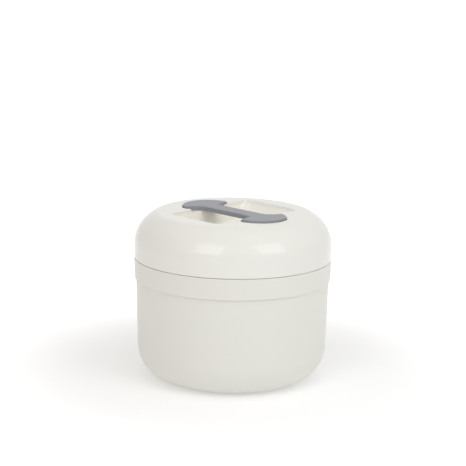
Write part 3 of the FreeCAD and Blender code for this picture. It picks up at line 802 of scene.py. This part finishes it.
def grey_paint(name, base):
    """Grey plastic with fine metallic flakes and a light rub on its upper face."""
    paint = Paint(name, base, Metallic=0.1, IOR=1.32)
    flake = paint.node("ShaderNodeTexVoronoi", {"feature": "F1"},
                       {"Vector": paint.place, "Scale": 2600.0}, "Color")
    spark = paint.node("ShaderNodeSeparateColor", None, {0: flake}, "Red")
    tone = paint.noise(60, 3, 0.6)
    paint.shade(spark * 0.6 + tone * 0.4, (0.13, 0.13, 0.12))
    rub = paint.range(paint.noise(1, 3, 0.55, paint.stretched(500, 500, 80)), 0.5, 0.8)
    paint.set("Roughness", rub * 0.08 + spark * 0.08 + 0.32)
    paint.bump(spark, 0.000006)
    paint.bump(paint.noise(420, 2, 0.5), 0.00001)
    return paint.material


def spun_steel(name, base):
    """Stainless steel polished on a lathe: hairlines round the axis and a little haze."""
    paint = Paint(name, base, Metallic=1.0)
    lines = paint.point(paint.radius() * 2600, paint.up() * 2600, 0)
    hair = paint.noise(1, 4, 0.7, lines)
    haze = paint.noise(25, 3, 0.6)
    paint.shade(hair * 0.7 + haze * 0.3, (0.10, 0.10, 0.11))
    paint.set("Roughness", hair * 0.16 + haze * 0.08 + 0.14)
    paint.bump(hair, 0.000004)
    return paint.material


def plated(name, base):
    """Zinc plating: mottled bright grey."""
    paint = Paint(name, base, Metallic=0.9)
    mottle = paint.noise(900, 4, 0.6)
    paint.shade(mottle, (0.25, 0.22, 0.20))
    paint.set("Roughness", mottle * 0.25 + 0.25)
    paint.bump(paint.noise(3000, 2, 0.5), 0.000008)
    return paint.material


def soft_rubber(name, base, roughness, dust):
    """Rubber or silicone: a dull skin with fine grain and a little dust."""
    paint = Paint(name, base, IOR=1.45)
    specks = paint.range(paint.noise(1600, 3, 0.6), 0.55, 0.75)
    paint.shade(specks * dust + paint.noise(45, 3, 0.6) * 0.5, (0.10, 0.10, 0.10))
    paint.set("Roughness", paint.noise(120, 3, 0.6) * 0.15 + roughness)
    paint.bump(paint.noise(1800, 3, 0.6), 0.00002)
    return paint.material


def foam_cells(name, base):
    """Rigid foam: small open cells in an uneven yellow."""
    paint = Paint(name, base, Roughness=0.9)
    cells = paint.node("ShaderNodeTexVoronoi", {"feature": "F1"},
                       {"Vector": paint.place, "Scale": 900.0}, "Distance")
    paint.shade(cells * 0.7 + paint.noise(50, 3, 0.6) * 0.5, (0.25, 0.30, 0.40))
    paint.bump(cells, 0.0003)
    return paint.material


FINISHES = {"lid": lid_cream, "body": satin_cream, "handle": grey_paint, "steel": spun_steel,
            "zinc": plated, "liner": gloss_cream, "foam": foam_cells}


def finish(name):
    """The material of one finish, made once from its colour in the settings."""
    if name in bpy.data.materials:
        return bpy.data.materials[name]
    base = tuple(getattr(bpy.context.scene.casserole_colours, name))
    if name == "silicone":
        return soft_rubber(name, base, 0.38, 0.3)
    if name == "rubber":
        return soft_rubber(name, base, 0.62, 1.0)
    return FINISHES[name](name, base)


def dress(piece, name):
    """Give a piece one finish all over."""
    piece.data.materials.clear()
    piece.data.materials.append(finish(name))


def settle(piece, body, slot, name, *nodes):
    """Finish a piece, let it ride on its body and stand for the packed nodes that it replaces."""
    dress(piece, name)
    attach(piece, body)
    if nodes:
        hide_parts(*nodes)


# Pieces
class CASSEROLE_OT_body(bpy.types.Operator):
    """Body shell: tapered wall, rounded bottom edge, well in the underside, spigot for the collar"""
    bl_idname = "casserole.body"
    bl_label = "Body shell"

    def execute(self, context):
        s = context.scene.casserole_base
        wall_top = foot("collar_ring") - s.band_groove
        top_radius = reach("collar_ring") - s.band_taper - s.band_step
        low_radius = top_radius - s.body_taper
        middle = low_radius - s.foot_bend
        well = middle + s.well_step
        rim_angle = -math.acos((well - middle) / s.foot_bend)
        rim_low = s.foot_bend + s.foot_bend * math.sin(rim_angle)
        floor = rim_low + s.floor_gap
        floor_top = floor + s.floor_plate
        inner_bend = s.foot_bend - s.wall
        floor_angle = -math.asin((s.foot_bend - floor_top) / inner_bend)
        spigot = reach("collar_ring") - s.band_taper - s.collar_wall - s.fit
        spigot_inner = spigot - s.spigot_wall
        spigot_top = foot("collar_ring") + s.spigot_rise
        inner_top = wall_top - s.spigot_wall
        corners = [(s.plug_hole, floor, 0), (well, floor)]
        corners += bow((middle, s.foot_bend), s.foot_bend, rim_angle, 0, 28)
        corners += [(top_radius, wall_top), (spigot, wall_top), (spigot, spigot_top),
                    (spigot_inner, spigot_top), (spigot_inner, inner_top, 0),
                    (top_radius - s.wall, inner_top - (top_radius - s.wall - spigot_inner), 0)]
        corners += bow((middle, s.foot_bend), inner_bend, 0, floor_angle, 20)
        corners += [(s.plug_hole, floor_top, 0)]
        settle(turned("body_shell_surface", corners), "base", "body_plastic", "body", "body_shell")
        return {"FINISHED"}


class CASSEROLE_OT_collar(bpy.types.Operator):
    """Collar: band round the rim with the lid's socket and the bowl's seat, and its four catches"""
    bl_idname = "casserole.collar"
    bl_label = "Collar and catches"

    def execute(self, context):
        s = context.scene.casserole_base
        outer, rim, low = reach("collar_ring"), top("collar_ring"), foot("collar_ring")
        socket = outer - s.rim_width
        seat = top("steel_bowl") - s.bowl_wall
        ledge = socket - s.ledge_width
        under = seat - s.collar_wall
        pocket = socket + s.collar_wall - s.fit
        roof = rim - s.collar_wall
        corners = [(outer - s.band_taper, low), (outer, rim, s.band_edge),
                   (socket, rim, s.soft * 2), (socket, seat), (ledge, seat), (ledge, under),
                   (pocket, under), (pocket, roof), (outer - s.collar_wall, roof),
                   (outer - s.band_taper - s.collar_wall, low)]
        settle(turned("collar_surface", corners), "base", "body_plastic", "body", "collar_ring")
        high = rim - s.catch_drop
        catches = arc_blocks("collar_catches", socket - s.catch_reach, socket + s.fit,
                             high - s.catch_height, high, 0, s.catch_span)
        settle(catches, "base", "body_plastic", "body", "collar_ring")
        return {"FINISHED"}


class CASSEROLE_OT_bowl(bpy.types.Operator):
    """Steel bowl: pressed sheet with a bent floor edge and a flat flange"""
    bl_idname = "casserole.bowl"
    bl_label = "Steel bowl"

    def execute(self, context):
        s = context.scene.casserole_base
        edge, flange, under = reach("steel_bowl"), top("steel_bowl"), foot("steel_bowl")
        mouth = reach("collar_ring") - s.rim_width - s.ledge_width - s.bowl_inset
        floor = under + s.bowl_wall
        lean = s.bowl_taper * s.bowl_bend / (flange - floor - s.bowl_bend)
        low = mouth - s.bowl_taper - lean
        half = s.bowl_wall / 2 * 0.9
        corners = [(s.bowl_middle, floor, 0), (low, floor, s.bowl_bend),
                   (mouth, flange, s.mouth_bend),
                   (edge, flange, half), (edge, flange - s.bowl_wall, half),
                   (mouth + s.bowl_wall, flange - s.bowl_wall, s.mouth_bend - s.bowl_wall),
                   (low + s.bowl_wall, under, s.bowl_bend + s.bowl_wall),
                   (s.bowl_middle, under, 0)]
        settle(turned("steel_bowl_surface", corners, False, 16), "base", "stainless_steel",
               "steel", "steel_bowl")
        return {"FINISHED"}


class CASSEROLE_OT_foot(bpy.types.Operator):
    """Rubber foot ring with a fine groove underneath"""
    bl_idname = "casserole.foot"
    bl_label = "Foot ring"

    def execute(self, context):
        s = context.scene.casserole_base
        outer, high = reach("foot_ring"), top("foot_ring")
        inner = outer - s.foot_width
        middle = (inner + outer) / 2
        groove, fine = s.foot_groove, s.soft / 3
        corners = [(inner, 0), (middle - groove * 2, 0, fine), (middle - groove, groove, fine),
                   (middle + groove, groove, fine), (middle + groove * 2, 0, fine), (outer, 0),
                   (outer, high), (inner, high)]
        settle(turned("foot_ring_surface", corners), "base", "foot_rubber", "rubber", "foot_ring")
        return {"FINISHED"}


class CASSEROLE_OT_lid(bpy.types.Operator):
    """Lid cover: wall, rounded shoulder, flat top with the wings' seats, and the finger recess"""
    bl_idname = "casserole.lid"
    bl_label = "Lid cover"

    def execute(self, context):
        b = context.scene.casserole_base
        s = context.scene.casserole_lid
        peak = top("lid_cover")
        shape = Shape()
        shape.add(lid_surface())
        lid = shape.make("lid_cover_surface")
        seat = Shape()
        lip = np.linspace(0, 1, 5)[1:]
        rows = [(b.fit, foot("handle_cap") - b.fit), (b.fit, peak - s.seat_lip)]
        rows += [(b.fit + s.seat_lip_width * t, peak - s.seat_lip * (1 - t) ** 1.5) for t in lip]
        seat.add(plan_rows(rows + [(b.fit + s.seat_lip_width, top("handle_cap"))]))
        for plan in room_plan(b.fit):
            seat.add(np.array([raised(plan, foot("handle_cap") - b.fit),
                               raised(plan, top("handle_cap"))]))
        carved(lid, seat.make("seat_cutter"), 30)
        settle(lid, "lid", "lid_plastic", "lid", "lid_cover")
        return {"FINISHED"}


class CASSEROLE_OT_handle(bpy.types.Operator):
    """Handle cover: S-shaped plan with rounded upper edges, hollow underneath for its core"""
    bl_idname = "casserole.handle"
    bl_label = "Handle"

    def execute(self, context):
        b = context.scene.casserole_base
        s = context.scene.casserole_handle
        low, high = foot("handle_cap"), top("handle_cap")
        bend = np.linspace(0, math.pi / 2, 7)
        rows = [(-s.skin, top("handle_core") + b.fit), (-s.skin, low), (-b.soft, low),
                (0, low + b.soft)]
        rows += [(s.edge * (math.cos(a) - 1) - s.draft, high - s.edge + s.edge * math.sin(a))
                 for a in bend]
        shape = Shape()
        shape.add(plan_rows(rows))
        settle(shape.make("handle_surface"), "lid", "handle_plastic", "handle", "handle_cap")
        return {"FINISHED"}


class CASSEROLE_OT_lock_ring(bpy.types.Operator):
    """Lock ring that closes the lid's edge, with its shelf, skirt and four lugs"""
    bl_idname = "casserole.lock_ring"
    bl_label = "Lock ring"

    def execute(self, context):
        b = context.scene.casserole_base
        s = context.scene.casserole_lid
        low, high = foot("lid_lock_ring"), top("lid_lock_ring")
        socket = reach("collar_ring") - b.rim_width
        outer = socket - b.catch_reach - 2 * b.fit
        inner = outer - s.ring_wall
        shelf = inner - s.shelf_width
        shelf_top = foot("lid_liner") + s.liner_drop
        shelf_low = shelf_top - s.shelf_wall
        edge = reach("lid_cover") - b.wall - b.fit
        flange = high - s.shelf_wall
        corners = [(inner, low, b.soft * 2), (outer, low, b.soft * 2), (outer, flange),
                   (edge, flange), (edge, high), (inner, high), (inner, shelf_top),
                   (shelf, shelf_top), (shelf, shelf_low), (inner, shelf_low)]
        settle(turned("lock_ring_surface", corners), "lid", "body_plastic", "body",
               "lid_lock_ring")
        lug_top = top("collar_ring") - b.catch_drop - b.catch_height - 2 * b.fit
        lugs = arc_blocks("lock_lugs", outer - b.fit, outer + s.lug_reach, lug_top - s.lug_height,
                          lug_top, s.lug_lead, s.lug_span)
        settle(lugs, "lid", "body_plastic", "body", "lid_lock_ring")
        return {"FINISHED"}


class CASSEROLE_OT_liner(bpy.types.Operator):
    """Liner: the shallow dish over the food, and the domed plug in its middle"""
    bl_idname = "casserole.liner"
    bl_label = "Liner and plug"

    def execute(self, context):
        b = context.scene.casserole_base
        s = context.scene.casserole_lid
        floor, high, edge = foot("lid_liner"), top("lid_liner"), reach("lid_liner")
        flange = high - s.liner_wall
        inner = reach("collar_ring") - b.rim_width - b.catch_reach - 2 * b.fit - s.ring_wall
        outer = inner - s.shelf_width - s.liner_edge
        soft = s.liner_wall / 3
        corners = [(b.plug_hole, floor, 0), (outer, floor, s.liner_bend), (outer, flange, soft),
                   (edge, flange, soft), (edge, high, soft),
                   (outer - s.liner_wall, high, soft * 2),
                   (outer - s.liner_wall, floor + s.liner_wall, s.liner_bend - s.liner_wall),
                   (b.plug_hole, floor + s.liner_wall, 0)]
        settle(turned("liner_surface", corners), "lid", "liner_plastic", "liner", "lid_liner")
        low, tall, radius = foot("lid_foam_plug"), top("lid_foam_plug"), reach("lid_foam_plug")
        stem = b.plug_hole - b.fit
        corners = [(s.plug_middle, low, 0), (radius, low, s.plug_edge),
                   (radius, floor, b.soft / 2), (stem, floor, 0), (stem, tall),
                   (s.plug_middle, tall, 0)]
        settle(turned("lid_plug_surface", corners, False), "lid", "plug_plastic", "liner",
               "lid_foam_plug")
        return {"FINISHED"}


class CASSEROLE_OT_gasket(bpy.types.Operator):
    """Silicone gasket between the lid and the bowl, with a soft lower lip"""
    bl_idname = "casserole.gasket"
    bl_label = "Gasket"

    def execute(self, context):
        b = context.scene.casserole_base
        s = context.scene.casserole_lid
        low, high, outer = foot("lid_gasket"), top("lid_gasket"), reach("lid_gasket")
        mouth = reach("collar_ring") - b.rim_width - b.ledge_width - b.bowl_inset
        inner = mouth + b.mouth_bend + 2 * b.fit
        neck = outer - s.gasket_neck
        soft = s.gasket_lip / 5
        corners = [(inner, low, soft), (outer, low, soft), (outer, high, soft),
                   (inner, high, soft), (inner, high - s.gasket_lip, soft),
                   (neck, high - s.gasket_lip, soft * 2), (neck, low + s.gasket_lip, soft * 2),
                   (inner, low + s.gasket_lip / 2, soft / 2)]
        settle(turned("gasket_surface", corners), "gasket", "seal_silicone", "silicone",
               "lid_gasket")
        return {"FINISHED"}


class CASSEROLE_OT_finishes(bpy.types.Operator):
    """Finishes of the packed pieces that keep their own mesh"""
    bl_idname = "casserole.finishes"
    bl_label = "Finishes"

    def execute(self, context):
        finishes = {"base_plate": "body", "base_screws": "zinc", "body_foam_plug": "liner",
                    "bowl_rim_seal": "silicone", "bowl_clamp_ring": "steel", "body_foam": "foam",
                    "lid_foam": "foam", "handle_core": "handle", "handle_washers": "zinc",
                    "handle_screws": "zinc"}
        for node, name in finishes.items():
            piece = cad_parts[node]
            dress(piece, name)
        return {"FINISHED"}


# Stage
def lamp(name, bearing, rise, distance, width, height, power, target, shiny=True):
    """A softbox on a sphere round the target, facing it, which shows in gloss where shiny."""
    data = bpy.data.lights.new(name, "AREA")
    data.shape = "RECTANGLE"
    data.size, data.size_y = width, height
    data.energy = power
    away = Vector((math.sin(bearing) * math.cos(rise), -math.cos(bearing) * math.cos(rise),
                   math.sin(rise)))
    thing = bpy.data.objects.new(name, data)
    thing.matrix_world = (Matrix.Translation(target + away * distance)
                          @ away.to_track_quat("Z", "Y").to_matrix().to_4x4())
    thing.visible_camera = False
    thing.visible_glossy = shiny
    bpy.context.scene.collection.objects.link(thing)


def surroundings(s):
    """World that shows as white and lights the object softly, most from above, least on the left."""
    world = bpy.data.worlds.new("surroundings")
    world.use_nodes = True
    nodes = Nodes(world.node_tree)
    way = nodes.node("ShaderNodeTexCoord", out="Generated")
    x, z = (nodes.axis(way, name) for name in "XZ")
    seen = nodes.seen()
    level = (z.at_least(0.0) * s.overhead + s.ambient) * (x * s.side_share + 1)
    tint = nodes.range(x, -1.0, 0.5).at_least(seen)
    light = world.node_tree.nodes["Background"]
    nodes.feed(light.inputs["Color"], nodes.mixed(tint, s.warm, (1, 1, 1)))
    nodes.feed(light.inputs["Strength"], level * (1 - seen) + seen)
    return world


def sweep(s, base):
    """Floor whose near part keeps the object's shadow and whose far part shows as white."""
    side = s.floor_size / 2
    mesh = bpy.data.meshes.new("floor")
    mesh.from_pydata([(-side, -side, 0), (side, -side, 0), (side, side, 0), (-side, side, 0)],
                     [], [(0, 1, 2, 3)])
    floor = bpy.data.objects.new("floor", mesh)
    bpy.context.scene.collection.objects.link(floor)
    paint = Paint("floor", base, Roughness=0.9, Specular_IOR_Level=0.0, Emission_Strength=1.0)
    lift = paint.range(paint.radius(), s.near, s.far, s.floor_lift, s.far_lift)
    seen = paint.seen()
    # Painted light: the floor glows for the rays that light the object, brightening its lower part
    # though it is no lamp.
    paint.set("Emission Color", paint.mixed(lift * seen + (1 - seen) * s.glow, (0, 0, 0),
                                            (1, 1, 1)))
    mesh.materials.append(paint.material)


class CASSEROLE_OT_stage(bpy.types.Operator):
    """Pale floor, white surroundings, three soft lights and the camera of the photograph"""
    bl_idname = "casserole.stage"
    bl_label = "Stage"

    def execute(self, context):
        scene = context.scene
        s = scene.casserole_studio
        scene.view_settings.view_transform = "Standard"
        scene.world = surroundings(s)
        sweep(s, tuple(scene.casserole_colours.floor))
        target = Vector((0, 0, top("collar_ring")))
        for name, bearing, power in (("left_softbox", s.left_bearing, s.left_power),
                                     ("right_softbox", s.right_bearing, s.right_power)):
            lamp(name, bearing, s.lamp_rise, s.lamp_distance, s.lamp_width, s.lamp_height, power,
                 target)
        lamp("front_fill", s.fill_bearing, s.fill_rise, s.fill_distance, s.fill_size,
             s.fill_size, s.fill_power, target, shiny=False)

        data = bpy.data.cameras.new("camera")
        data.sensor_width = s.sensor
        data.lens = s.lens
        data.shift_x = -s.half_pixel / s.image
        data.shift_y = s.half_pixel / s.image
        camera = bpy.data.objects.new("camera", data)
        down, roll = s.pitch, s.roll
        right = Vector((math.cos(roll), math.sin(roll) * math.sin(down),
                        math.sin(roll) * math.cos(down)))
        up = Vector((-math.sin(roll), math.cos(roll) * math.sin(down),
                     math.cos(roll) * math.cos(down)))
        turn = Matrix((right, up, right.cross(up))).transposed()
        camera.matrix_world = Matrix.Translation(Vector(s.place)) @ turn.to_4x4()
        scene.collection.objects.link(camera)
        scene.camera = camera
        return {"FINISHED"}


OPERATORS = (CASSEROLE_OT_body, CASSEROLE_OT_collar, CASSEROLE_OT_bowl, CASSEROLE_OT_foot,
             CASSEROLE_OT_lid, CASSEROLE_OT_handle, CASSEROLE_OT_lock_ring, CASSEROLE_OT_liner,
             CASSEROLE_OT_gasket, CASSEROLE_OT_finishes, CASSEROLE_OT_stage)


class CASSEROLE_PT_panel(bpy.types.Panel):
    """Settings and makers of the casserole"""
    bl_idname = "CASSEROLE_PT_panel"
    bl_label = "Casserole"
    bl_space_type = "VIEW_3D"
    bl_region_type = "UI"
    bl_category = "Casserole"

    def draw(self, context):
        for name, group in GROUPS.items():
            box = self.layout.box()
            box.label(text=group.__doc__)
            for key in group.__annotations__:
                box.prop(getattr(context.scene, name), key)
        for operator in OPERATORS:
            self.layout.operator(operator.bl_idname)


def register():
    for item in (*GROUPS.values(), *OPERATORS, CASSEROLE_PT_panel):
        bpy.utils.register_class(item)
    for name, group in GROUPS.items():
        setattr(bpy.types.Scene, name, bpy.props.PointerProperty(type=group))


def unregister():
    for name in GROUPS:
        delattr(bpy.types.Scene, name)
    for item in (CASSEROLE_PT_panel, *reversed(OPERATORS), *reversed(GROUPS.values())):
        bpy.utils.unregister_class(item)


def main():
    """Make every piece and the stage."""
    register()
    for operator in OPERATORS:
        group, name = operator.bl_idname.split(".")
        getattr(getattr(bpy.ops, group), name)()


if __name__ == "__main__":
    main()
